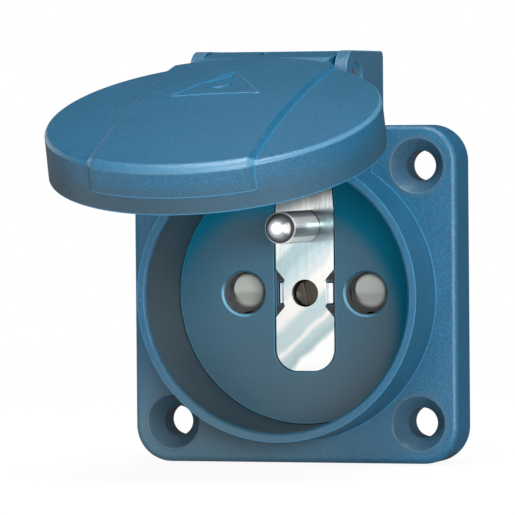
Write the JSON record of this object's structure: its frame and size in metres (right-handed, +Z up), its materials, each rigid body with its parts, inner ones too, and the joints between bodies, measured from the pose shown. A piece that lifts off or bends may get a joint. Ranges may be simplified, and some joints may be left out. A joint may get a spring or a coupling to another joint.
{
  "type": "panel power socket",
  "caption": "Square-flanged panel power socket: round recess with an earth pin and shuttered holes, and a round lid hinged above it, shown open.",
  "frame": {"origin": "centre of the flange's back face, where it meets the panel", "axes": "+X to the right seen from the front, +Y back into the panel, +Z up; plugs enter along +Y"},
  "size_m": [0.05, 0.0974, 0.061],
  "materials": {
    "blue_moulding": "satin",
    "seal_rubber": "matte",
    "spring_steel": "satin",
    "shutter_grey": "satin",
    "earth_plate": "polished",
    "contact_brass": "satin",
    "screw_steel": "satin",
    "base_moulding": "satin"
  },
  "bodies": {
    "base": {"housing": "blue_moulding", "flange_gasket": "seal_rubber", "hinge_pin": "spring_steel", "lid_spring": "spring_steel", "contact_carrier": "blue_moulding", "shutter_springs": "spring_steel", "earth_strip": "earth_plate", "earth_pin": "earth_plate", "centre_screw": "screw_steel", "centre_nut": "screw_steel", "live_contact_left": "contact_brass", "live_contact_right": "contact_brass", "earth_link": "contact_brass", "clamp_cage_left": "contact_brass", "clamp_cage_right": "contact_brass", "clamp_cage_earth": "contact_brass", "terminal_screws": "screw_steel", "contact_base": "base_moulding", "terminal_block": "base_moulding", "rear_cover": "base_moulding"},
    "lid": {"lid": "blue_moulding", "lid_seal": "seal_rubber"},
    "shutter": {"shutter": "shutter_grey"}
  },
  "joints": [
    {"name": "lid_hinge", "type": "hinge", "parent": "base", "child": "lid", "pos_m": [0, -0.014, 0.0316], "axis": [-1, 0, 0], "range_deg": [-71.5, 28.5], "deforming": ["lid_spring"]},
    {"name": "shutter_slide", "type": "slide", "parent": "base", "child": "shutter", "axis": [0, 0, 1], "range_m": [0, 0.0056], "stiffness_N_per_m": 60, "springref_m": -0.008, "deforming": ["shutter_springs"]}
  ]
}
